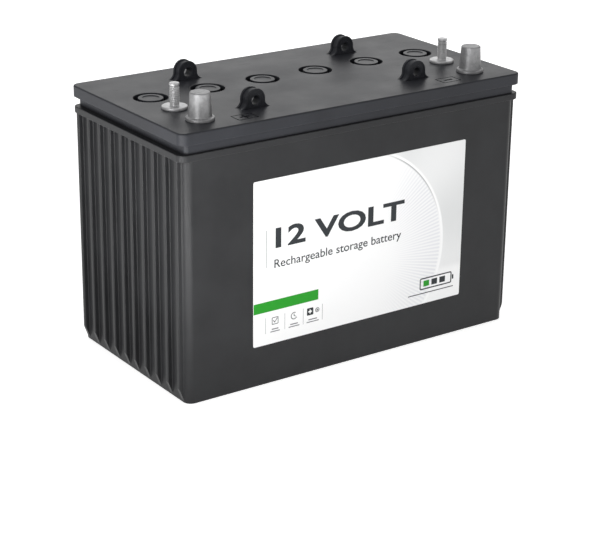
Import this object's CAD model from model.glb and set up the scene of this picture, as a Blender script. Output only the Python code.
"""Looks of a twelve volt deep cycle battery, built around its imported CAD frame.

Shapes are written in millimetres and scaled to metres as they become meshes. The frame's origin
is the middle of the battery's base, with the label and the terminals towards -Y.
"""

import math

import bmesh
import bpy
from mathutils import Matrix, Vector
from mathutils.geometry import tessellate_polygon


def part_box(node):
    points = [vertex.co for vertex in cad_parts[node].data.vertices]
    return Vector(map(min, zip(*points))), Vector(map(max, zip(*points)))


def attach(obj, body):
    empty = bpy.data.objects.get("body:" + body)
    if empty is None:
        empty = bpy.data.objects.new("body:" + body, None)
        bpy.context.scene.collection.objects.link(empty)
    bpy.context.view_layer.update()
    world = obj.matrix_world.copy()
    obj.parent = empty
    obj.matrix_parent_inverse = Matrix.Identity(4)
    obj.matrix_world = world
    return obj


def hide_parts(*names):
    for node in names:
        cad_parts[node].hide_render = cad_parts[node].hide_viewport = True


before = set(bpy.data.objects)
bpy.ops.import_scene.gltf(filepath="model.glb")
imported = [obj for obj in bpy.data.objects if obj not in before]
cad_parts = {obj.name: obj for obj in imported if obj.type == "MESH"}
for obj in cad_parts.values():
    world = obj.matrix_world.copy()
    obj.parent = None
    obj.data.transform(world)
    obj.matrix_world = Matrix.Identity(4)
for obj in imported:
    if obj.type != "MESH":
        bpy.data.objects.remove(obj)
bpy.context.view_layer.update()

MM = 0.001
WELD = 0.002  # millimetres; points closer than this become one
BODY = "battery"
CELLS = range(1, 7)
POLES = ("positive", "negative")


def box_mm(node):
    """Lowest and highest corners of a CAD node."""
    low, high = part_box(node)
    return low / MM, high / MM


def centre_mm(node):
    low, high = box_mm(node)
    return (low + high) / 2


# ---------------------------------------------------------------- driving dimensions, from the frame

case_high = box_mm("case")[1]
lid_high = box_mm("lid")[1]
LID_TOP = lid_high.z
JOINT_Z = case_high.z
RIM_HX, RIM_HY = case_high.x, case_high.y
LID_HX, LID_HY = lid_high.x, lid_high.y

# ---------------------------------------------------------------- outlines


def arc(cx, cy, radius, start, end, steps):
    """Points along an arc, angles in degrees."""
    turn = [math.radians(start + (end - start) * i / steps) for i in range(steps + 1)]
    return [(cx + radius * math.cos(a), cy + radius * math.sin(a)) for a in turn]


def rounded_rect(hx, hy, radius, steps=8):
    """Counter-clockwise outline of a rectangle with round corners, given by its half sizes."""
    points = []
    for sx, sy, start in ((1, -1, -90), (1, 1, 0), (-1, 1, 90), (-1, -1, 180)):
        points += arc(sx * (hx - radius), sy * (hy - radius), radius, start, start + 90, steps)
    return points


def circle(radius, steps, cx=0.0, cy=0.0):
    return arc(cx, cy, radius, 0, 360, steps)[:-1]


def fillet_steps(radius, steps=4):
    """(inset, drop) pairs that carry an outline round an edge, from the side face to the top face."""
    pairs = []
    for i in range(steps + 1):
        a = math.pi / 2 * i / steps
        pairs.append((radius * (1 - math.cos(a)), radius * (1 - math.sin(a))))
    return pairs


# ---------------------------------------------------------------- mesh making


class Shape:
    """Collects rings and faces in millimetres, and turns them into one piece of the model."""

    def __init__(self):
        self.bm = bmesh.new()

    def ring(self, points):
        return [self.bm.verts.new(Vector(p) * MM) for p in points]

    def flat_ring(self, outline, z):
        return self.ring([(x, y, z) for x, y in outline])

    def face(self, verts):
        if len(set(verts)) > 2:
            self.bm.faces.new(verts)

    def bridge(self, a, b):
        n = len(a)
        for i in range(n):
            j = (i + 1) % n
            self.face([a[i], a[j], b[j], b[i]])

    def loft(self, rings):
        for a, b in zip(rings, rings[1:]):
            self.bridge(a, b)

    def fan(self, ring, point):
        tip = self.bm.verts.new(Vector(point) * MM)
        for i in range(len(ring)):
            self.face([ring[i], ring[(i + 1) % len(ring)], tip])

    def fill(self, *rings):
        """A flat face inside the first ring, with the other rings as its holes."""
        apart = WELD * MM
        loops = [[v for v, last in zip(ring, ring[-1:] + ring) if (v.co - last.co).length > apart]
                 for ring in rings]
        if len(loops) == 1:
            self.face(loops[0])
            return
        flat = [v for loop in loops for v in loop]
        for tri in tessellate_polygon([[v.co.copy() for v in loop] for loop in loops]):
            self.face([flat[i] for i in tri])

    def lathe(self, profile, steps, cx, cy):
        """Turns (radius, z) points round an upright axis. A radius of 0 closes that end."""
        rings = []
        for radius, z in profile:
            if radius > 0:
                rings.append(self.flat_ring(circle(radius, steps, cx, cy), z))
        self.loft(rings)
        if profile[0][0] == 0:
            self.fan(rings[0], (cx, cy, profile[0][1]))
        if profile[-1][0] == 0:
            self.fan(rings[-1], (cx, cy, profile[-1][1]))
        return rings

    def mesh(self, name, sharp=38):
        """The finished mesh. Edges that turn by more than sharp degrees stay crisp."""
        weld = WELD * MM
        bmesh.ops.remove_doubles(self.bm, verts=self.bm.verts, dist=weld)
        bmesh.ops.dissolve_degenerate(self.bm, edges=self.bm.edges, dist=weld / 4)
        bmesh.ops.recalc_face_normals(self.bm, faces=self.bm.faces)
        mesh = bpy.data.meshes.new(name)
        self.bm.to_mesh(mesh)
        self.bm.free()
        mesh.shade_smooth()
        mesh.set_sharp_from_angle(angle=math.radians(sharp))
        return mesh


def add_piece(name, mesh, paint, body, slot, *nodes):
    """Puts a mesh in the scene on a body, in place of the CAD nodes named last."""
    piece = bpy.data.objects.new(name, mesh)
    bpy.context.scene.collection.objects.link(piece)
    mesh.materials.clear()
    mesh.materials.append(paint)
    weighted = piece.modifiers.new("even_shading", "WEIGHTED_NORMAL")
    weighted.keep_sharp = True
    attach(piece, body)
    if nodes:
        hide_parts(*nodes)


def blend_profile(profile, radius=0.3, steps=3):
    """Rounds every corner of a (radius, z) profile but its two ends with small curves."""
    out = [profile[0]]
    for before, here, after in zip(profile, profile[1:], profile[2:]):
        a = Vector(before) - Vector(here)
        b = Vector(after) - Vector(here)
        limit = 0.45 * min(a.length, b.length)
        if limit < 1e-4:
            out.append(here)
            continue
        half = a.angle(b) / 2
        cut = min(radius / math.tan(half), limit) if half > 0.02 else 0
        if cut <= 1e-4 or abs(half - math.pi / 2) < 0.05:
            out.append(here)
            continue
        start = Vector(here) + a.normalized() * cut
        end = Vector(here) + b.normalized() * cut
        for i in range(steps + 1):
            t = i / steps
            point = start * (1 - t) ** 2 + Vector(here) * 2 * t * (1 - t) + end * t * t
            out.append((point.x, point.y))
    out.append(profile[-1])
    return out


# ---------------------------------------------------------------- material making


class Paint:
    """A procedural material. Its patterns lie in the object's own coordinates, in metres."""

    def __init__(self, name, color, roughness, metallic=0.0, specular=0.5):
        self.material = bpy.data.materials.new(name)
        self.material.use_nodes = True
        self.nodes = self.material.node_tree.nodes
        self.links = self.material.node_tree.links
        self.shader = self.nodes["Principled BSDF"]
        self.shader.inputs["Base Color"].default_value = (*color, 1)
        self.shader.inputs["Roughness"].default_value = roughness
        self.shader.inputs["Metallic"].default_value = metallic
        self.shader.inputs["Specular IOR Level"].default_value = specular
        self.place = self.nodes.new("ShaderNodeTexCoord").outputs["Object"]

    def node(self, kind, **settings):
        made = self.nodes.new(kind)
        for key, value in settings.items():
            setattr(made, key, value)
        return made

    def plug(self, socket, value):
        if isinstance(value, bpy.types.NodeSocket):
            self.links.new(value, socket)
        else:
            socket.default_value = value

    def math(self, operation, a, b=0.0):
        made = self.node("ShaderNodeMath", operation=operation)
        self.plug(made.inputs[0], a)
        self.plug(made.inputs[1], b)
        return made.outputs[0]

    def product(self, first, *others):
        for other in others:
            first = self.math("MULTIPLY", first, other)
        return first

    def stretched(self, scale, turn=(0, 0, 0)):
        made = self.node("ShaderNodeMapping")
        self.links.new(self.place, made.inputs["Vector"])
        made.inputs["Rotation"].default_value = turn
        made.inputs["Scale"].default_value = scale
        return made.outputs["Vector"]

    def noise(self, size_mm, detail=3.0, rough=0.5, vector=None):
        made = self.node("ShaderNodeTexNoise")
        self.links.new(vector or self.place, made.inputs["Vector"])
        made.inputs["Scale"].default_value = 1 / (size_mm * MM)
        made.inputs["Detail"].default_value = detail
        made.inputs["Roughness"].default_value = rough
        return made.outputs["Fac"]

    def cells(self, size_mm, feature="F1"):
        """Distance to the nearest seed point, or to the nearest cell edge."""
        made = self.node("ShaderNodeTexVoronoi", feature=feature)
        self.links.new(self.place, made.inputs["Vector"])
        made.inputs["Scale"].default_value = 1 / (size_mm * MM)
        return made.outputs["Distance"]

    def spread(self, value, low, high, new_low=0.0, new_high=1.0, smooth=False):
        """Maps low to high onto new_low to new_high, and holds the ends beyond them."""
        made = self.node("ShaderNodeMapRange")
        if smooth:
            made.interpolation_type = "SMOOTHSTEP"
        self.plug(made.inputs["Value"], value)
        made.inputs["From Min"].default_value = low
        made.inputs["From Max"].default_value = high
        made.inputs["To Min"].default_value = new_low
        made.inputs["To Max"].default_value = new_high
        return made.outputs["Result"]

    def mix(self, share, a, b):
        """Colour a where share is 0, colour b where it is 1."""
        factor, color_a, color_b, color_out = 0, 6, 7, 2
        made = self.node("ShaderNodeMix", data_type="RGBA")
        self.plug(made.inputs[factor], share)
        self.plug(made.inputs[color_a], a if isinstance(a, bpy.types.NodeSocket) else (*a, 1))
        self.plug(made.inputs[color_b], b if isinstance(b, bpy.types.NodeSocket) else (*b, 1))
        return made.outputs[color_out]

    def axes(self):
        made = self.node("ShaderNodeSeparateXYZ")
        self.links.new(self.place, made.inputs[0])
        return made.outputs

    def color(self, value):
        self.links.new(value, self.shader.inputs["Base Color"])

    def rough(self, value):
        self.links.new(value, self.shader.inputs["Roughness"])

    def bump(self, height, depth_mm, strength=1.0):
        """Adds a bump on top of those already there."""
        made = self.node("ShaderNodeBump")
        made.inputs["Strength"].default_value = strength
        made.inputs["Distance"].default_value = depth_mm * MM
        self.links.new(height, made.inputs["Height"])
        previous = self.shader.inputs["Normal"]
        if previous.is_linked:
            self.links.new(previous.links[0].from_socket, made.inputs["Normal"])
        self.links.new(made.outputs["Normal"], previous)


def toned(color, factor):
    return tuple(min(1.0, c * factor) for c in color)


def moulded_plastic(name, color, roughness):
    """Satin polypropylene: fine spark-eroded grain, cloudy gloss, faint rub marks."""
    p = Paint(name, color, roughness, specular=0.22)
    cloud = p.noise(38, 4.0, 0.55)
    fleck = p.noise(1.1, 2.0)
    tone = p.mix(p.spread(cloud, 0.35, 0.65), toned(color, 0.86), toned(color, 1.16))
    dust = tuple(c + 0.02 for c in color)
    tone = p.mix(p.spread(fleck, 0.66, 0.80, 0.0, 0.30), tone, dust)
    p.color(tone)
    rub = p.noise(5, 6.0, 0.65, p.stretched((0.25, 1.0, 3.0), (0.4, 0.2, 0.9)))
    marks = p.spread(rub, 0.60, 0.78, 0.0, 0.10)
    base = p.spread(cloud, 0.3, 0.7, roughness - 0.05, roughness + 0.05)
    p.rough(p.math("ADD", base, marks))
    grain = p.noise(0.45, 2.0, 0.6)
    p.bump(grain, 0.012)
    ripple = p.noise(24, 2.0)
    p.bump(ripple, 0.05)
    return p.material


def cast_metal(name, color, roughness, metallic, line_mm=0.5, line_depth=0.01, turned=True):
    """Grey metal with a dull cloudy skin, fine lines round its axis and small pits."""
    p = Paint(name, color, roughness, metallic)
    cloud = p.noise(4.5, 4.0, 0.6)
    tone = p.mix(p.spread(cloud, 0.32, 0.68), toned(color, 0.80), toned(color, 1.14))
    pits = p.cells(1.3)
    tone = p.mix(p.spread(pits, 0.0, 0.16, 0.35, 0.0), tone, toned(color, 0.5))
    p.color(tone)
    p.rough(p.spread(p.noise(1.6, 4.0), 0.3, 0.7, roughness - 0.08, roughness + 0.10))
    lines = p.noise(line_mm, 3.0, 0.5, p.stretched((0.03, 0.03, 1.0) if turned else (1, 1, 1)))
    p.bump(lines, line_depth)
    p.bump(pits, 0.012, 0.5)
    return p.material


def black_rubber(name, color, roughness):
    """Moulded rubber: a dull, slightly blotchy skin with a fine matt texture."""
    p = Paint(name, color, roughness)
    cloud = p.noise(6, 3.0)
    p.color(p.mix(p.spread(cloud, 0.3, 0.7), toned(color, 0.8), toned(color, 1.5)))
    p.rough(p.spread(p.noise(0.8, 3.0), 0.3, 0.7, roughness - 0.06, roughness + 0.06))
    p.bump(p.noise(0.3, 2.0), 0.01)
    return p.material


def pasted_plate(name, color, deep):
    """Active paste pressed into a lead grid: grid bars show through as a faint lattice."""
    p = Paint(name, color, 0.85)
    along, upright = p.axes()[1:]
    lattice = []
    for axis, pitch in ((along, 7.5), (upright, 5.0)):
        wave = p.math("SINE", p.math("MULTIPLY", axis, 2 * math.pi / (pitch * MM)))
        lattice.append(p.spread(wave, 0.86, 1.0))
    bars = p.math("MAXIMUM", *lattice)
    cloud = p.mix(p.spread(p.noise(9, 5.0, 0.6), 0.3, 0.7), deep, color)
    p.color(p.mix(p.math("MULTIPLY", bars, 0.5), cloud, toned(color, 1.6)))
    p.bump(p.noise(0.7, 4.0, 0.6), 0.05)
    p.bump(bars, 0.08)
    return p.material


def separator_sheet(name, color):
    """Ribbed microporous sheet with a glass mat's fine fibres."""
    p = Paint(name, color, 0.8)
    along = p.axes()[1]
    rib_pitch = 6 * MM
    ribs = p.math("SINE", p.math("MULTIPLY", along, 2 * math.pi / rib_pitch))
    fibres = p.noise(1.2, 5.0, 0.7, p.stretched((1.0, 0.3, 2.0), (0.5, 0, 0)))
    p.color(p.mix(p.spread(fibres, 0.3, 0.7), toned(color, 0.88), color))
    p.rough(p.spread(fibres, 0.3, 0.7, 0.7, 0.9))
    p.bump(p.spread(ribs, 0.8, 1.0), 0.2)
    p.bump(fibres, 0.03)
    return p.material


def set_gel(name, color):
    """Cloudy silica gel with shrinkage veins."""
    p = Paint(name, color, 0.35)
    veins = p.cells(14, "DISTANCE_TO_EDGE")
    cloud = p.noise(11, 5.0, 0.6)
    tone = p.mix(p.spread(cloud, 0.3, 0.7), toned(color, 0.85), color)
    crack = p.spread(veins, 0.0, 0.04, 0.5, 0.0)
    p.color(p.mix(crack, tone, toned(color, 0.6)))
    p.rough(p.spread(cloud, 0.3, 0.7, 0.28, 0.45))
    p.bump(p.spread(veins, 0.0, 0.06), 0.15)
    return p.material


def print_ink(name, color):
    """Printed ink: a fine halftone mottle in colour and gloss."""
    roughness = 0.38
    p = Paint(name, color, roughness, specular=0.2)
    mottle = p.noise(0.6, 3.0)
    p.color(p.mix(p.spread(mottle, 0.3, 0.7), toned(color, 0.92), toned(color, 1.06)))
    p.rough(p.spread(p.noise(9, 3.0), 0.3, 0.7, roughness - 0.05, roughness + 0.05))
    p.bump(p.noise(0.4, 2.0), 0.004)
    return p.material


# The arc in the label's print: its centre in x and z, its radius, and the rays in a full turn
ART_CENTRE = (-3.3, 87.0)
ART_RADIUS = 89.9
ART_LINES = 170


def label_film(name):
    """White film with a generic grey print: an arc, fine rays inside it and a soft shade outside.

    The print fades by x, by z, by its reach from the arc's centre, and by its turn round that
    centre in radians, which is 0 to the right and grows upwards.
    """
    white, ray_grey, shade_grey = (0.88, 0.88, 0.88), (0.60, 0.61, 0.66), (0.64, 0.65, 0.65)
    line_grey, band_white, fleck_grey = (0.22, 0.22, 0.23), (0.92, 0.92, 0.92), (0.70, 0.70, 0.70)
    p = Paint(name, (0.86, 0.86, 0.86), 0.36)
    across, _, upright = p.axes()
    dx = p.math("SUBTRACT", across, ART_CENTRE[0] * MM)
    dz = p.math("SUBTRACT", upright, ART_CENTRE[1] * MM)
    reach = p.math("SQRT", p.math("ADD", p.math("MULTIPLY", dx, dx), p.math("MULTIPLY", dz, dz)))
    turn = p.math("ARCTAN2", dz, dx)
    edge = ART_RADIUS * MM

    # rays, strongest near the arc and on its right
    wave = p.math("SINE", p.math("MULTIPLY", turn, ART_LINES))
    near = p.spread(reach, 0.30 * edge, 0.97 * edge, smooth=True)
    from_below = p.spread(turn, -1.25, -0.35, smooth=True)
    from_above = p.spread(turn, 1.15, 0.55, smooth=True)
    inside = p.spread(reach, edge * 0.985, edge * 0.995, 1.0, 0.0)
    share = p.product(near, inside, p.product(from_below, from_above))
    rays = p.product(p.spread(wave, -1.0, 1.0, 0.0, 0.55), share)
    tone = p.mix(rays, white, ray_grey)
    # soft shade outside the arc, which ends above the label's lower edge and in its right half
    outside = p.spread(reach, edge, edge * 1.02)
    sweep = p.spread(p.math("SINE", p.math("MULTIPLY", turn, 7.0)), -1.0, 1.0, 0.45, 0.85)
    upper = p.spread(upright, 58 * MM, 66 * MM, smooth=True)
    right_half = p.spread(across, 20 * MM, 50 * MM, smooth=True)
    shade = p.product(outside, sweep, p.product(upper, right_half))
    tone = p.mix(shade, tone, shade_grey)
    # the arc itself: a dark line on its upper right, then a white band
    line_turn = p.spread(turn, 0.15, 0.75, 0.0, 0.85, smooth=True)
    line_in = p.spread(reach, edge * 0.985, edge * 0.998)
    line_out = p.spread(reach, edge, edge * 1.006, 1.0, 0.0)
    line = p.product(line_in, line_out, p.product(line_turn, right_half))
    tone = p.mix(line, tone, line_grey)
    band_in = p.spread(reach, edge, edge * 1.006)
    band_out = p.spread(reach, edge * 1.02, edge * 1.03, 1.0, 0.0)
    tone = p.mix(p.product(band_in, band_out, right_half), tone, band_white)
    mottle = p.noise(0.8, 2.0)
    tone = p.mix(p.spread(mottle, 0.3, 0.7, 0.0, 0.05), tone, fleck_grey)
    p.color(tone)
    p.rough(p.spread(p.noise(30, 3.0), 0.3, 0.7, 0.30, 0.42))
    p.bump(p.noise(18, 3.0), 0.03)
    return p.material


CASE_COLOR = (0.0208, 0.0212, 0.0226)
LID_COLOR = (0.0240, 0.0252, 0.0300)

case_paint = moulded_plastic("case_plastic", CASE_COLOR, 0.42)
lid_paint = moulded_plastic("lid_plastic", LID_COLOR, 0.42)
cap_paint = moulded_plastic("cap_plastic", LID_COLOR, 0.40)
post_paint = cast_metal("post_lead", (0.32, 0.32, 0.325), 0.45, 0.6)
stud_paint = cast_metal("stud_steel", (0.56, 0.56, 0.565), 0.40, 0.55, 0.3, 0.004)
lead_paint = cast_metal("cast_lead", (0.30, 0.30, 0.31), 0.55, 0.8, 0.8, 0.02, turned=False)
seal_paint = black_rubber("seal_rubber", (0.018, 0.018, 0.018), 0.6)
valve_paint = black_rubber("valve_rubber", (0.022, 0.022, 0.022), 0.55)
positive_paint = pasted_plate("positive_plate", (0.13, 0.065, 0.035), (0.07, 0.035, 0.02))
negative_paint = pasted_plate("negative_plate", (0.24, 0.25, 0.26), (0.15, 0.155, 0.16))
separator_paint = separator_sheet("separator_sheet", (0.78, 0.76, 0.70))
gel_paint = set_gel("gel", (0.78, 0.76, 0.66))
film_paint = label_film("label_film")
ink_paint = print_ink("label_ink", (0.026, 0.030, 0.034))
grey_paint = print_ink("label_grey_ink", (0.17, 0.17, 0.18))
green_paint = print_ink("label_green_ink", (0.014, 0.29, 0.014))

# ---------------------------------------------------------------- case

CASE_HX, CASE_HY = 160.5, 83.0
CASE_CORNER = 7.0
RIM_CORNER = 7.0
RIM_LOW = JOINT_Z - 5.5
# Ribs: height, thickness, spacing, spacing of the middle pair, edge and foot radii
RIB_H, RIB_T = 4.0, 3.8
RIB_PITCH, RIB_MIDDLE = 17.0, 15.0
RIB_EDGE, RIB_FOOT = 0.9, 0.8
EDGE_STEPS = 6
RIB_OUTWARD = [RIB_MIDDLE / 2 + i * RIB_PITCH for i in range(5)]
RIB_CENTRES = RIB_OUTWARD[::-1] + [-y for y in RIB_OUTWARD]
# Heights between which the ribs grow out of the case
TAPER = (2.0, 12.5)


def rib_profile(centre):
    """(y, height) points over one rib, from back to front, round its foot fillets and edges."""
    turns = [math.pi / 2 * i / EDGE_STEPS for i in range(EDGE_STEPS + 1)]
    half = RIB_T / 2
    side = [(half + RIB_FOOT * (1 - math.sin(a)), RIB_FOOT * (1 - math.cos(a))) for a in turns]
    side += [(half - RIB_EDGE * (1 - math.cos(a)), RIB_H - RIB_EDGE * (1 - math.sin(a))) for a in turns]
    return [(centre + y, h) for y, h in side] + [(centre - y, h) for y, h in reversed(side)]


def end_profile():
    """(y, height) points down one end, from back to front."""
    return [point for centre in RIB_CENTRES for point in rib_profile(centre)]


def end_x(y, hx, hy, radius):
    """How far out the plain outline reaches at y."""
    over = abs(y) - (hy - radius)
    if over <= 0:
        return hx
    return hx - radius + math.sqrt(max(radius**2 - over**2, 0))


def case_outline(hx, hy, radius, cap=0.0):
    """Outline of the case. cap is how far the ribs stand out at this height."""
    k = hy / CASE_HY
    profile = end_profile()
    cut = profile[0][0] * k
    cut_angle = 180 - math.degrees(math.asin(max(0, cut - hy + radius) / radius))
    back = arc(-(hx - radius), hy - radius, radius, 90, cut_angle, 8)
    ribbed = []
    for y, height in profile:
        plain = end_x(y * k, hx, hy, radius)
        reach = max(plain, CASE_HX + min(height, cap)) if height > 0.01 else plain
        ribbed.append((-reach, y * k))
    half = back + ribbed + [(x, -y) for x, y in reversed(back)]
    return half + [(-x, -y) for x, y in half]


def make_case():
    s = Shape()
    rings = []

    def add(z, inset=0.0, cap=0.0):
        outline = case_outline(CASE_HX - inset, CASE_HY - inset, CASE_CORNER - inset, cap)
        rings.append(s.flat_ring(outline, z))

    foot = 0.5
    for inset, drop in reversed(fillet_steps(foot)):
        add(drop, inset, cap=-foot)
    steps = 12
    for i in range(steps + 1):
        z = TAPER[0] + (TAPER[1] - TAPER[0]) * i / steps
        add(z, cap=RIB_H * i / steps)
    add(RIM_LOW, cap=RIB_H)
    edge = 0.7
    for inset, drop in reversed(fillet_steps(edge)):
        outline = case_outline(RIM_HX - inset, RIM_HY - inset, RIM_CORNER - inset)
        rings.append(s.flat_ring(outline, RIM_LOW + drop))
    for inset, drop in fillet_steps(edge):
        outline = case_outline(RIM_HX - inset, RIM_HY - inset, RIM_CORNER - inset)
        rings.append(s.flat_ring(outline, JOINT_Z - drop))
    s.loft(rings)
    s.fill(rings[0])
    make_cells(s, rings[-1])
    add_piece("case_shell", s.mesh("case_shell"), case_paint, BODY, "case_plastic", "case")


def make_cells(s, rim):
    """The six cells inside and the walls between them, which end below the case's rim."""
    floor, wall_drop = 5.0, 5
    end_wall, side_wall, wall = 6.5, 4, 2.5
    wall_top = JOINT_Z - wall_drop
    hx, hy = CASE_HX - end_wall, CASE_HY - side_wall
    pitch = (2 * hx + wall) / len(CELLS)
    edges = []
    for k in range(len(CELLS)):
        left = -hx + k * pitch
        edges += [left, left + pitch - wall]
    front = [(x, -hy) for x in edges]
    back = [(x, hy) for x in reversed(edges)]
    top = s.flat_ring(front + back, JOINT_Z)
    mid = s.flat_ring(front + back, wall_top)
    s.fill(rim, top)
    s.bridge(top, mid)
    n = len(edges)
    f, b = mid[:n], mid[n:][::-1]
    for k in range(len(CELLS)):
        left, right = 2 * k, 2 * k + 1
        pocket = [f[left], f[right], b[right], b[left]]
        base = s.ring([(v.co.x / MM, v.co.y / MM, floor) for v in pocket])
        s.bridge(pocket, base)
        s.fill(base)
        if right + 1 < n:
            s.face([f[right], f[right + 1], b[right + 1], b[right]])


# ---------------------------------------------------------------- lid

LIP_T = 9.5
SKIRT_HX, SKIRT_HY = 159.7, 82.0
SKIRT_CORNER = 3.5
CAVITY = (151.3, 76.3, 1.0)
PLATE_T = 4.0
LID_CORNER = 7.0
LID_EDGE, LIP_EDGE, SKIRT_EDGE = 1.3, 0.5, 0.25
# Vent wells: the recess for a cap's head, the well below it, and the valve's nipple on its floor
WELL_TOP_R, WELL_R = 13.9, 8.0
HEAD_DEPTH, WELL_DEPTH = 6.0, 22.0
WELL_WALL, RECESS_WALL = 3, 2.6
NIPPLE_R, NIPPLE_H, VENT_R = 3.5, 8.0, 1.5
POST_HOLE_R, STUD_HOLE_R = 9.5, 6.5
CAP_CENTRES = {k: centre_mm(f"vent_cap_{k}") for k in CELLS}
POSTS = {pole: centre_mm(f"{pole}_post") for pole in POLES}
STUDS = {pole: centre_mm(f"{pole}_stud") for pole in POLES}
# Polarity marks: a plus at the first place and a minus at the second, in sunken frames
MARK_Y = -69.5
MARKS = ((-99.0, True), (99.0, False))
MARK_DEPTH = 0.8
MARK_ARM, MARK_WIDTH = 8.4, 2.4
FRAME_OUT, FRAME_IN = (9.2, 6.5, 1.2), (8.2, 5.5, 0.6)


def plus_outline(arm, width, cx, cy):
    a, w = arm / 2, width / 2
    half = [(a, -w), (a, w), (w, w), (w, a), (-w, a), (-w, w)]
    points = half + [(-x, -y) for x, y in half]
    return [(cx + x, cy + y) for x, y in points]


def minus_outline(arm, width, cx, cy):
    return [(cx + sx * arm / 2, cy + sy * width / 2) for sx, sy in ((-1, -1), (1, -1), (1, 1), (-1, 1))]


def sunk(s, outline, top, depth):
    """Rings that go from the lid's face down a groove's wall."""
    upper = s.flat_ring(outline, top)
    lower = s.flat_ring(outline, top - depth)
    s.bridge(upper, lower)
    return upper, lower


def lid_skin(s):
    """Rings from the lid's hollow underside, round its skirt and lip, to the rim of its top."""
    lip_low = LID_TOP - LIP_T
    rings = []

    def add(hx, hy, radius, z):
        rings.append(s.flat_ring(rounded_rect(hx, hy, radius), z))

    add(*CAVITY, LID_TOP - PLATE_T)
    add(*CAVITY, JOINT_Z)
    for inset, drop in reversed(fillet_steps(SKIRT_EDGE, 2)):
        add(SKIRT_HX - inset, SKIRT_HY - inset, SKIRT_CORNER - inset, JOINT_Z + drop)
    add(SKIRT_HX, SKIRT_HY, SKIRT_CORNER, lip_low)
    for inset, drop in reversed(fillet_steps(LIP_EDGE)):
        add(LID_HX - inset, LID_HY - inset, LID_CORNER - inset, lip_low + drop)
    for inset, drop in fillet_steps(LID_EDGE, 6):
        add(LID_HX - inset, LID_HY - inset, LID_CORNER - inset, LID_TOP - drop)
    s.loft(rings)
    return rings


def well_profile():
    """(radius, z) points down a well, over its nipple, through the vent and up the outside."""
    top, seat, floor = LID_TOP, LID_TOP - HEAD_DEPTH, LID_TOP - WELL_DEPTH
    return [(WELL_TOP_R + 0.5, top), (WELL_TOP_R + 0.15, top - 0.15), (WELL_TOP_R, top - 0.5),
            (WELL_TOP_R, seat), (WELL_R, seat), (WELL_R, floor), (NIPPLE_R, floor),
            (NIPPLE_R, floor + NIPPLE_H), (VENT_R, floor + NIPPLE_H), (VENT_R, floor - WELL_WALL),
            (WELL_R + WELL_WALL, floor - WELL_WALL), (WELL_R + WELL_WALL, seat - WELL_WALL),
            (WELL_TOP_R + RECESS_WALL, seat - WELL_WALL), (WELL_TOP_R + RECESS_WALL, top - PLATE_T)]


def polarity_mark(s, x, plus):
    """A sunken frame with a sunken sign in it. Returns the frame's outline on the lid's face."""
    frame_out = [(x + a, MARK_Y + b) for a, b in rounded_rect(*FRAME_OUT, 4)]
    frame_in = [(x + a, MARK_Y + b) for a, b in rounded_rect(*FRAME_IN, 4)]
    outer, outer_low = sunk(s, frame_out, LID_TOP, MARK_DEPTH)
    inner, inner_low = sunk(s, frame_in, LID_TOP, MARK_DEPTH)
    shape = plus_outline if plus else minus_outline
    sign, sign_low = sunk(s, shape(MARK_ARM, MARK_WIDTH, x, MARK_Y), LID_TOP, MARK_DEPTH)
    s.fill(outer_low, inner_low)
    s.fill(inner, sign)
    s.fill(sign_low)
    return outer


def make_lid():
    s = Shape()
    skin = lid_skin(s)
    holes = [s.lathe(well_profile(), 72, centre.x, centre.y) for centre in CAP_CENTRES.values()]
    for centres, radius in ((POSTS, POST_HOLE_R), (STUDS, STUD_HOLE_R)):
        profile = [(radius, LID_TOP), (radius, LID_TOP - PLATE_T)]
        holes += [s.lathe(profile, 48, centre.x, centre.y) for centre in centres.values()]
    marks = [polarity_mark(s, x, plus) for x, plus in MARKS]
    s.fill(skin[-1], *[hole[0] for hole in holes], *marks)
    s.fill(skin[0], *[hole[-1] for hole in holes])
    add_piece("lid_cover", s.mesh("lid_cover"), lid_paint, BODY, "lid_plastic", "lid")


# ---------------------------------------------------------------- vent caps and relief valves


def make_cap(k):
    centre = CAP_CENTRES[k]
    top = LID_TOP
    head_r, stem_r, hollow_r = 10.15, 7.92, 6.0
    stem_end, ceiling = 16.0, 10.5
    dish_r, dish = 7.0, 0.6
    seat_play = 0.1
    seat = top - HEAD_DEPTH + seat_play
    profile = [(0, top - dish), (dish_r - 0.5, top - dish), (dish_r + 0.1, top), (head_r, top),
               (head_r, seat), (stem_r, seat), (stem_r, top - stem_end),
               (hollow_r, top - stem_end), (hollow_r, top - ceiling), (0, top - ceiling)]
    s = Shape()
    s.lathe(blend_profile(profile, 0.45, 4), 72, centre.x, centre.y)
    node = f"vent_cap_{k}"
    add_piece(f"{node}_moulded", s.mesh(node), cap_paint, node, "cap_plastic", node)


def make_valve(k):
    centre = CAP_CENTRES[k]
    low, high = box_mm(f"relief_valve_{k}")
    side_play, top_play = 0.06, 0.1
    hood_r, hole_r = 5.2, NIPPLE_R + side_play
    waist_r, shoulder_r = hood_r - 0.3, hood_r - 0.9
    ceiling = LID_TOP - WELL_DEPTH + NIPPLE_H + top_play
    profile = [(0, high.z), (shoulder_r, high.z), (waist_r, high.z - 0.6), (waist_r, low.z + 2.2),
               (hood_r, low.z + 1.9), (hood_r, low.z), (hole_r, low.z), (hole_r, ceiling), (0, ceiling)]
    s = Shape()
    s.lathe(blend_profile(profile, 0.3), 48, centre.x, centre.y)
    node = f"relief_valve_{k}"
    add_piece(f"{node}_hood", s.mesh(node), valve_paint, node, "valve_rubber", node)


# ---------------------------------------------------------------- rope eyes

# The arch over the hole, and the hollow curve of each foot, which meets the lid at its lowest point
EYE_ARCH_R, EYE_ARCH_Z = 8.6, 6.8
EYE_FOOT_R, EYE_FOOT_X = 5.6, 14.2
EYE_STEPS = 10


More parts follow.
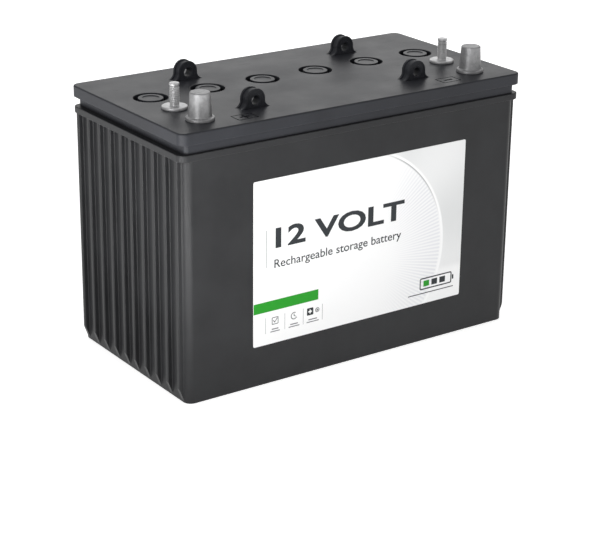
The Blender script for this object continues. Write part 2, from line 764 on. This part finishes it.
def eye_outline(inset):
    """Bell outline of a rope eye in (x, height) points, moved in by inset and cut off at the lid."""
    foot_r = EYE_FOOT_R + inset
    cut = math.degrees(math.acos(EYE_FOOT_R / foot_r))
    foot = arc(EYE_FOOT_X, EYE_FOOT_R, foot_r, 270 - cut, 180, EYE_STEPS)
    arch = arc(0, EYE_ARCH_Z, EYE_ARCH_R - inset, 0, 180, 2 * EYE_STEPS)
    return foot + arch + [(-x, z) for x, z in reversed(foot)]


def make_eye(number):
    node = f"rope_eye_{number}"
    centre = centre_mm(node)
    half_t, flange_t, web_inset = 4.7, 2.3, 0.9
    sink, border, ring_r, bore_r, bore_z = 0.5, 1.4, 5.15, 3.75, 6.0
    soft = 0.35
    web_t = half_t - flange_t
    s = Shape()

    def ring(inset, y):
        return s.ring([(centre.x + x, centre.y + y, LID_TOP + z) for x, z in eye_outline(inset)])

    def hole(radius, y):
        turn = circle(radius, 48)
        return s.ring([(centre.x + x, centre.y + y, LID_TOP + bore_z + z) for x, z in turn])

    skin = []
    for side in (-1, 1):
        layers = [(soft, half_t), (soft * 0.3, half_t - soft * 0.3), (0, half_t - soft),
                  (0, web_t + soft), (soft * 0.4, web_t + soft * 0.3), (web_inset, web_t)]
        made = [ring(inset, side * y) for inset, y in layers]
        skin += made if side == -1 else made[::-1]
    s.loft(skin)
    bores = []
    for side, outer in ((-1, skin[0]), (1, skin[-1])):
        border_in = ring(border, side * half_t)
        border_low = ring(border + 0.2, side * (half_t - sink))
        s.bridge(outer, border_in)
        s.bridge(border_in, border_low)
        boss = [hole(ring_r, side * (half_t - sink)), hole(ring_r - 0.15, side * half_t),
                hole(bore_r + 0.35, side * half_t), hole(bore_r + 0.1, side * (half_t - 0.12)),
                hole(bore_r, side * (half_t - 0.45))]
        s.loft(boss)
        s.fill(border_low, boss[0])
        bores.append(boss[-1])
    s.bridge(*bores)
    add_piece(f"{node}_moulded", s.mesh(node), lid_paint, BODY, "lid_plastic", node)


# ---------------------------------------------------------------- terminals


def flange_rim(radius, top, bevel, ease):
    """(radius, z) points over the rim of a terminal's flange and down to the lid."""
    return [(radius - bevel, top), (radius - ease, top - 0.3), (radius, top - 0.9),
            (radius, LID_TOP + 0.3), (radius - 0.3, LID_TOP)]


def make_post(pole):
    node = f"{pole}_post"
    centre = POSTS[pole]
    low, high = box_mm(node)
    top, under = high.z, LID_TOP - PLATE_T
    flange_r, flange_t = 11.2, 2.6
    top_r, neck_r, collar_r, collar_t, stem_r = 7.95, 8.0, 11.0, 3.0, 7.0
    edge = 1.1
    taper = 18  # the radius grows 1 in 18 downwards, which is 1 in 9 on the diameter
    flange_z = LID_TOP + flange_t
    base_r = top_r + (top - LID_TOP - flange_t) / taper
    profile = [(0, top), (top_r - edge, top)]
    for step in range(1, 6):
        a = math.radians(15 * step)
        profile.append((top_r - edge * (1 - math.sin(a)), top - edge * (1 - math.cos(a))))
    profile += [(top_r, top - edge - 0.2), (base_r - 0.05, flange_z + 1.1), (base_r + 0.25, flange_z + 0.35),
                (base_r + 0.9, flange_z), *flange_rim(flange_r, flange_z, 0.8, 0.2)]
    profile += [(neck_r, LID_TOP), (neck_r, under), (collar_r, under), (collar_r, under - collar_t),
                (stem_r, under - collar_t), (stem_r, low.z), (0, low.z)]
    s = Shape()
    s.lathe(profile, 72, centre.x, centre.y)
    add_piece(f"{node}_cast", s.mesh(node), post_paint, BODY, "post_lead", node)


# The stud's thread: its radius over the crests, its radius in the roots, and its pitch
THREAD_MAJOR, THREAD_MINOR, THREAD_PITCH = 3.9, 3.45, 1.411


def thread_rings(s, centre, steps, low, high):
    """Rings down a thread. Each is one turn of a helix, so the thread winds as they follow on."""
    per_pitch, run_out = 8, 0.5
    rows = int((high - low) / THREAD_PITCH * per_pitch) + per_pitch
    rings = []
    for row in range(rows + 1):
        phase = row % per_pitch / per_pitch
        height = max(0.0, min(1.0, 1.6 - 3.2 * abs(phase - 0.5)))
        points = []
        for i in range(steps):
            a = 2 * math.pi * i / steps
            z = high + THREAD_PITCH * (i / steps) - row * THREAD_PITCH / per_pitch
            inside = min(1.0, max(0.0, min(high - z, z - low) / run_out))
            r = THREAD_MINOR + (THREAD_MAJOR - THREAD_MINOR) * height * inside
            z = min(high, max(low, z))
            points.append((centre.x + r * math.cos(a), centre.y + r * math.sin(a), z))
        rings.append(s.ring(points))
    return rings


def make_stud(pole):
    """A stud with a real helical thread between its flange and a plain end."""
    node = f"{pole}_stud"
    centre = STUDS[pole]
    low, high = box_mm(node)
    top, under = high.z, LID_TOP - PLATE_T
    flange_r, flange_z = 10.2, LID_TOP + 2.4
    neck_r, collar_r, collar_low = 4.0, 8.0, under - 3
    end_r, end_z = 3.95, top - 2.2
    steps = 48
    head = [(end_r - 0.6, top), (end_r - 0.15, top - 0.2), (end_r, top - 0.65),
            (end_r, end_z + 0.15), (end_r - 0.15, end_z), (THREAD_MINOR, end_z - 0.35),
            (THREAD_MINOR, end_z - 0.9)]
    foot = [(THREAD_MINOR, flange_z + 1.2), (THREAD_MINOR, flange_z + 0.6), (THREAD_MINOR + 0.45, flange_z),
            *flange_rim(flange_r, flange_z, 0.9, 0.25),
            (neck_r, LID_TOP), (neck_r, under), (collar_r, under), (collar_r, collar_low),
            (neck_r, collar_low), (neck_r, low.z)]
    s = Shape()
    rings = [s.flat_ring(circle(r, steps, centre.x, centre.y), z) for r, z in head]
    s.fan(rings[0], (centre.x, centre.y, top))
    rings += thread_rings(s, centre, steps, foot[0][1], head[-1][1])
    rings += [s.flat_ring(circle(r, steps, centre.x, centre.y), z) for r, z in foot]
    s.loft(rings)
    s.fan(rings[-1], (centre.x, centre.y, low.z))
    add_piece(f"{node}_threaded", s.mesh(node, sharp=50), stud_paint, BODY, "stud_steel", node)


# ---------------------------------------------------------------- label

label_low, label_high = box_mm("label")
LABEL_FACE = label_low.y
PRINT_T = 0.05
# The icons: their height on the label, their radius or half side, and their places in x
ICON_Z, ICON_R = 53.0, 3.1
TICK_X, CLOCK_X, PLUS_X, WHEEL_X = -79.4, -61.2, -45.6, -38.6
PAIR_X = -43.0  # the bars under the plus and the wheel


def on_label(s, outline, *holes):
    """A thin printed shape on the label's face, from (x, z) outlines."""
    near, far = [], []
    for points in (outline, *holes):
        near.append(s.ring([(x, LABEL_FACE - PRINT_T, z) for x, z in points]))
        far.append(s.ring([(x, LABEL_FACE + PRINT_T, z) for x, z in points]))
    s.fill(*near)
    s.fill(*far)
    for a, b in zip(near, far):
        s.bridge(a, b)


def bar(s, x0, x1, z0, z1):
    on_label(s, [(x0, z0), (x1, z0), (x1, z1), (x0, z1)])


def stroke(s, points, width):
    """A line of even width along straight stretches, half its width longer at each end."""
    for (x0, z0), (x1, z1) in zip(points, points[1:]):
        along = Vector((x1 - x0, z1 - z0)).normalized() * width / 2
        side = Vector((-along.y, along.x))
        start = Vector((x0, z0)) - along
        stop = Vector((x1, z1)) + along
        corners = (start + side, start - side, stop - side, stop + side)
        on_label(s, [tuple(corner) for corner in corners])


def add_print(name, s, paint):
    add_piece(name, s.mesh(name), paint, BODY, "label_film")


def make_label():
    """The film, with round corners and an eased front edge."""
    s = Shape()
    hx, hz = (label_high.x - label_low.x) / 2, (label_high.z - label_low.z) / 2
    cx, cz = (label_high.x + label_low.x) / 2, (label_high.z + label_low.z) / 2
    corner = 1.5
    rings = []
    face = LABEL_FACE
    for inset, y in ((0, label_high.y), (0, face + 0.1), (0.03, face + 0.03), (0.12, face)):
        outline = rounded_rect(hx - inset, hz - inset, corner - inset)
        rings.append(s.ring([(cx + x, y, cz + z) for x, z in outline]))
    s.loft(rings)
    s.fill(rings[0])
    s.fill(rings[-1])
    add_piece("label_sheet", s.mesh("label_sheet"), film_paint, BODY, "label_film", "label")


def make_words(name, words, x0, x1, z0, z1, paint, weight, face_height=None):
    """Plain words fitted into a box on the label, in the built-in typeface.

    Their ink fills the box, or with face_height only a letter of that height reaches its top.
    """
    curve = bpy.data.curves.new(name, "FONT")
    curve.body = words
    curve.size = 1.0
    curve.offset = weight
    curve.extrude = 0.5
    curve.resolution_u = 4
    holder = bpy.data.objects.new(name + "_text", curve)
    bpy.context.scene.collection.objects.link(holder)
    bpy.context.view_layer.update()
    mesh = bpy.data.meshes.new_from_object(holder.evaluated_get(bpy.context.evaluated_depsgraph_get()))
    bpy.data.objects.remove(holder)
    bpy.data.curves.remove(curve)
    xs = [v.co.x for v in mesh.vertices]
    ys = [v.co.y for v in mesh.vertices]
    low_y = min(ys) if face_height is None else 0.0
    high_y = max(ys) if face_height is None else face_height
    for v in mesh.vertices:
        x = x0 + (v.co.x - min(xs)) / (max(xs) - min(xs)) * (x1 - x0)
        z = z0 + (v.co.y - low_y) / (high_y - low_y) * (z1 - z0)
        y = LABEL_FACE - (PRINT_T if v.co.z > 0 else -PRINT_T)
        v.co = Vector((x, y, z)) * MM
    mesh.name = name
    mesh.validate()
    add_piece(name, mesh, paint, BODY, "label_film")


def square(x, z, half, corner, steps=3):
    return [(x + a, z + b) for a, b in rounded_rect(half, half, corner, steps)]


def print_words():
    make_words("label_title", "12 VOLT", -79.5, 47.0, 113.5, 130.5, ink_paint, 0.028)
    subtitle = "Rechargeable storage battery"
    make_words("label_subtitle", subtitle, -80.5, 44.5, 97.5, 104.5, ink_paint, 0.006, 0.70)


def print_rules():
    """An upright rule by the title, rules between the icons, and two bars under each icon."""
    s = Shape()
    bar(s, -88.4, -87.9, 99, 130)
    half_rule = 0.15
    for x in (-88.4, -70.1, -52.3, -33.6):
        bar(s, x - half_rule, x + half_rule, 43.5, 57.0)
    for x, width in ((TICK_X, 9.0), (CLOCK_X, 10.5), (PAIR_X, 12.0)):
        bar(s, x - width * 0.35, x + width * 0.35, 45.6, 46.5)
        bar(s, x - width / 2, x + width / 2, 43.6, 44.4)
    add_print("label_rules", s, grey_paint)


def print_icons():
    """A tick in a frame, a clock, a plus in a tile and a small wheel."""
    s = Shape()
    x, z = TICK_X, ICON_Z
    on_label(s, square(x, z, ICON_R, 0.5), square(x, z, 2.55, 0.3))
    stroke(s, [(x - 1.6, z + 0.2), (x - 0.4, z - 1.2), (x + 2.0, z + 1.9)], 0.6)
    x = CLOCK_X
    on_label(s, arc(x, z, ICON_R, 60, 330, 24) + arc(x, z, 2.5, 330, 60, 24))
    stroke(s, [(x, z + 1.6), (x, z), (x + 1.4, z - 0.6)], 0.55)
    x = PLUS_X
    on_label(s, square(x, z, ICON_R, 0.6), plus_outline(3.4, 1.2, x, z))
    x = WHEEL_X
    spokes, spoke_r = 3, 1.3
    on_label(s, circle(2.0, 28, x, z), circle(1.55, 28, x, z))
    for i in range(spokes):
        a = math.pi * i / spokes
        dx, dz = spoke_r * math.cos(a), spoke_r * math.sin(a)
        stroke(s, [(x - dx, z - dz), (x + dx, z + dz)], 0.35)
    add_print("label_icons", s, ink_paint)


def print_gauge():
    """An outlined battery with three bars of charge, the first one green, over a thin rule."""
    left, right, low, high = 66.0, 100.0, 46.5, 57.0
    cx, cz = (left + right) / 2, (low + high) / 2
    hx, hz = (right - left) / 2, (high - low) / 2
    line, tip, half_tip = 1.1, right + 2.1, 2.0
    charge_w, half_charge = 6.0, 2.6
    s = Shape()
    on_label(s, [(cx + a, cz + b) for a, b in rounded_rect(hx, hz, 1.6, 5)],
             [(cx + a, cz + b) for a, b in rounded_rect(hx - line, hz - line, 0.7, 4)])
    bar(s, right + 0.5, tip, cz - half_tip, cz + half_tip)
    for start in (left + 12.5, left + 21.0):
        bar(s, start, start + charge_w, cz - half_charge, cz + half_charge)
    bar(s, left - 12.0, tip, 42.9, 43.7)
    add_print("label_mark", s, ink_paint)
    first = Shape()
    start = left + 4.0
    bar(first, start, start + charge_w, cz - half_charge, cz + half_charge)
    add_print("label_mark_charge", first, green_paint)


def make_print():
    print_words()
    print_rules()
    green = Shape()
    bar(green, label_low.x + 0.2, -37.8, 61.8, 70.6)
    add_print("label_green_bar", green, green_paint)
    print_icons()
    print_gauge()


# ---------------------------------------------------------------- what stays as packed


def paint_node(node, paint):
    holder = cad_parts[node]
    holder.data.materials.clear()
    holder.data.materials.append(paint)


def paint_inner_nodes():
    """Materials for the seals and for what is inside the case."""
    for pole in POLES:
        paint_node(f"{pole}_terminal_bar", lead_paint)
        paint_node(f"{pole}_post_seal", seal_paint)
        paint_node(f"{pole}_stud_seal", seal_paint)
    for k in CELLS:
        paint_node(f"positive_plates_{k}", positive_paint)
        paint_node(f"negative_plates_{k}", negative_paint)
        paint_node(f"separators_{k}", separator_paint)
        paint_node(f"gel_electrolyte_{k}", gel_paint)
        if k < len(CELLS):
            paint_node(f"cell_weld_{k}", lead_paint)


# ---------------------------------------------------------------- studio

FLOOR_GLOW = 0.66
WORLD_GLOW = 0.40
LIGHT_TARGET = Vector((0, 0, 0.12))


def make_floor():
    """A wide sheet of white paper that glows a little, so that it renders pale and almost even."""
    mesh = bpy.data.meshes.new("floor")
    reach = 9.0
    corners = [(-reach, -reach, 0), (reach, -reach, 0), (reach, reach, 0), (-reach, reach, 0)]
    mesh.from_pydata(corners, [], [(0, 1, 2, 3)])
    floor = bpy.data.objects.new("floor", mesh)
    bpy.context.scene.collection.objects.link(floor)
    p = Paint("floor_paper", (0.93, 0.93, 0.93), 0.9)
    p.color(p.mix(p.noise(60, 3.0), (0.92, 0.92, 0.92), (0.94, 0.94, 0.94)))
    p.shader.inputs["Emission Color"].default_value = (1, 1, 1, 1)
    p.shader.inputs["Emission Strength"].default_value = FLOOR_GLOW
    mesh.materials.append(p.material)


def toward(azimuth, elevation):
    """Direction out from the object; azimuth 0 is in front, along -Y."""
    level = math.cos(elevation)
    return Vector((math.sin(azimuth) * level, -math.cos(azimuth) * level, math.sin(elevation)))


def add_panel(name, size, power):
    """A soft rectangular light that the camera doesn't see."""
    data = bpy.data.lights.new(name, "AREA")
    data.shape = "RECTANGLE"
    data.size, data.size_y = size
    data.energy = power
    light = bpy.data.objects.new(name, data)
    bpy.context.scene.collection.objects.link(light)
    light.visible_camera = False
    return light


def aim_panel(name, azimuth, elevation, distance, size, power):
    """A panel that faces the object from a direction, in degrees."""
    back = toward(math.radians(azimuth), math.radians(elevation))
    light = add_panel(name, size, power)
    light.location = LIGHT_TARGET + back * distance
    light.rotation_mode = "QUATERNION"
    light.rotation_quaternion = (-back).to_track_quat("-Z", "Y")


def add_floor_strip():
    """A narrow panel lying on the floor. The case's front left corner and rib edges mirror it."""
    azimuth, near, far, width, lift = math.radians(-61), 0.03, 0.68, 0.16, 0.002
    corner = Vector((-CASE_HX, -CASE_HY, 0)) * MM
    light = add_panel("floor_strip", (width, far - near), 4.8)
    light.location = corner + toward(azimuth, 0) * (near + far) / 2 + Vector((0, 0, lift))
    light.rotation_euler = (math.pi, 0, math.pi - azimuth)


def make_studio():
    make_floor()
    world = bpy.data.worlds.new("studio")
    world.use_nodes = True
    background = world.node_tree.nodes["Background"]
    background.inputs["Color"].default_value = (1, 1, 1, 1)
    background.inputs["Strength"].default_value = WORLD_GLOW
    bpy.context.scene.world = world
    aim_panel("top_panel", 150, 70, distance=2.0, size=(1.6, 1.2), power=5)
    aim_panel("front_panel", 25, 35, distance=1.8, size=(1.5, 1.0), power=1.2)
    aim_panel("side_strip", -64, 18, distance=1.2, size=(0.25, 0.9), power=4.6)
    aim_panel("back_panel", 151, 24, distance=1.5, size=(1.4, 0.9), power=4.4)
    add_floor_strip()
    bpy.context.scene.view_settings.view_transform = "Standard"


def make_camera():
    """A long lens at the front left, a little above the lid. The picture is 600 x 556."""
    azimuth, elevation, roll = math.radians(-34.81), math.radians(21.16), math.radians(0.56)
    distance, lens, sensor = 1.51714, 107.61, 36
    target = Vector((-0.00806, 0, 0.05075))
    back = toward(azimuth, elevation)
    right = back.cross(Vector((0, 0, 1))).normalized() * -1
    up = back.cross(right)
    turned_right = right * math.cos(roll) + up * math.sin(roll)
    turned_up = up * math.cos(roll) - right * math.sin(roll)
    data = bpy.data.cameras.new("camera")
    data.sensor_width = sensor
    data.sensor_fit = "HORIZONTAL"
    data.lens = lens
    data.shift_x, data.shift_y = 0.0174, -0.0078
    camera = bpy.data.objects.new("camera", data)
    bpy.context.scene.collection.objects.link(camera)
    turn = Matrix((turned_right, turned_up, back)).transposed().to_4x4()
    camera.matrix_world = Matrix.Translation(target + back * distance) @ turn
    bpy.context.scene.camera = camera


# ---------------------------------------------------------------- build

make_studio()
make_camera()
make_case()
make_lid()
for cell in CELLS:
    make_cap(cell)
    make_valve(cell)
for eye in range(1, 5):
    make_eye(eye)
for terminal in POLES:
    make_post(terminal)
    make_stud(terminal)
make_label()
make_print()
paint_inner_nodes()
